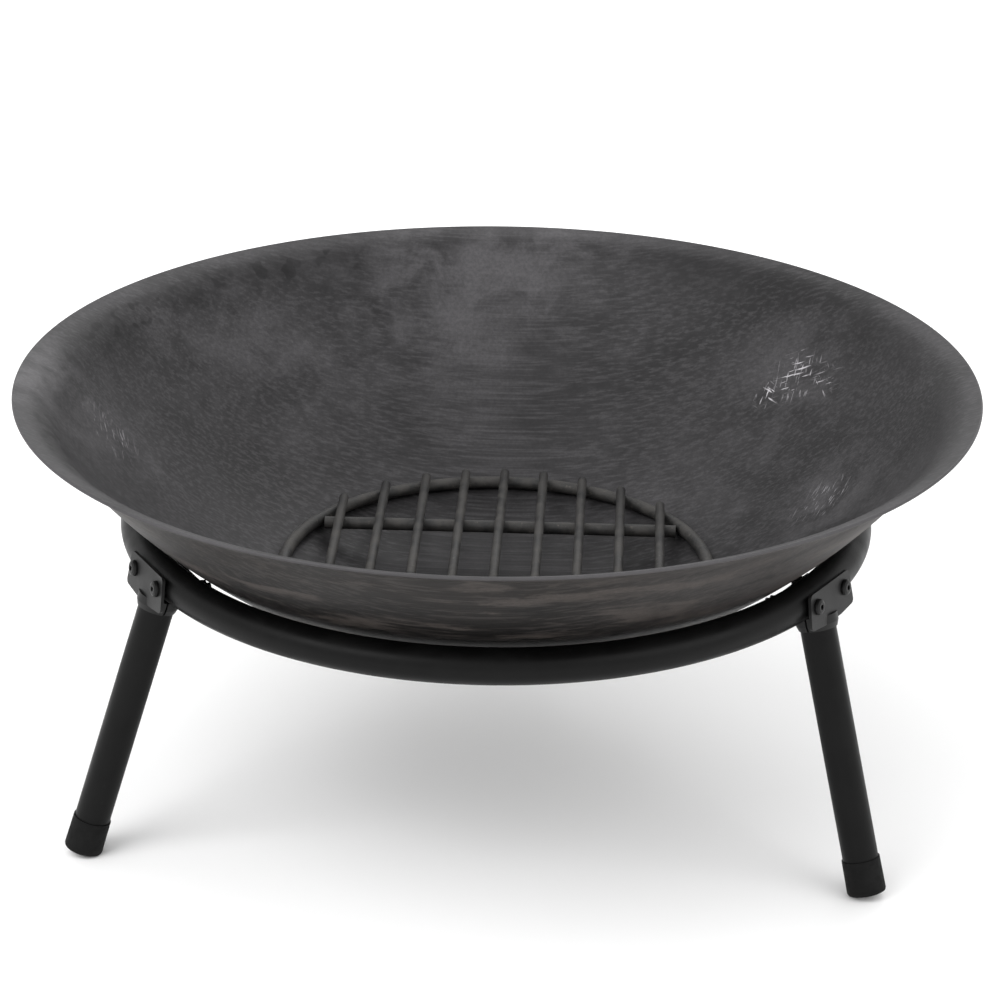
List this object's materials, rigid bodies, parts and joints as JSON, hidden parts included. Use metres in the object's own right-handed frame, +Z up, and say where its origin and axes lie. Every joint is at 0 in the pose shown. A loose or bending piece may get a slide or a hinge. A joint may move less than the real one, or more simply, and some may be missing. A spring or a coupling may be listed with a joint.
{
  "type": "fire pit with grate",
  "caption": "Shallow round steel fire bowl with a flared lip, loose on a low three-legged tube stand, with a lift-out bar grate inside.",
  "frame": {"origin": "on the ground under the middle of the bowl", "axes": "+Z up; +X to the right and -Y to the front, with one leg at the back on +Y and two at the front"},
  "size_m": [0.6, 0.6, 0.2722],
  "materials": {
    "raw_steel": "raw rolled steel, dark and mottled",
    "frame_black": "satin black powder coat",
    "clamp_black": "satin dark powder coat on pressed steel",
    "bolt_black": "black oxide",
    "cap_rubber": "matt black",
    "grate_steel": "sooty dark round bar"
  },
  "bodies": {
    "stand": {"ring_tube": "frame_black", "leg_left": "frame_black", "foot_cap_left": "cap_rubber", "front_clamp_left": "clamp_black", "back_clamp_left": "clamp_black", "bolt_left_a": "bolt_black", "nut_left_a": "bolt_black", "bolt_left_b": "bolt_black", "nut_left_b": "bolt_black", "leg_right": "frame_black", "foot_cap_right": "cap_rubber", "front_clamp_right": "clamp_black", "back_clamp_right": "clamp_black", "bolt_right_a": "bolt_black", "nut_right_a": "bolt_black", "bolt_right_b": "bolt_black", "nut_right_b": "bolt_black", "leg_back": "frame_black", "foot_cap_back": "cap_rubber", "front_clamp_back": "clamp_black", "back_clamp_back": "clamp_black", "bolt_back_a": "bolt_black", "nut_back_a": "bolt_black", "bolt_back_b": "bolt_black", "nut_back_b": "bolt_black"},
    "bowl": {"bowl": "raw_steel"},
    "grate": {"grate_ring": "grate_steel", "grate_bar_1": "grate_steel", "grate_bar_2": "grate_steel", "grate_bar_3": "grate_steel", "grate_bar_4": "grate_steel", "grate_bar_5": "grate_steel", "grate_bar_6": "grate_steel", "grate_bar_7": "grate_steel", "grate_bar_8": "grate_steel", "grate_bar_9": "grate_steel", "grate_cross_rod_front": "grate_steel", "grate_cross_rod_rear": "grate_steel"}
  },
  "joints": [
    {"name": "bowl_lift", "type": "slide", "parent": "stand", "child": "bowl", "axis": [0, 0, 1], "range_m": [0, 0.3]},
    {"name": "grate_lift", "type": "slide", "parent": "bowl", "child": "grate", "axis": [0, 0, 1], "range_m": [0, 0.3]}
  ]
}
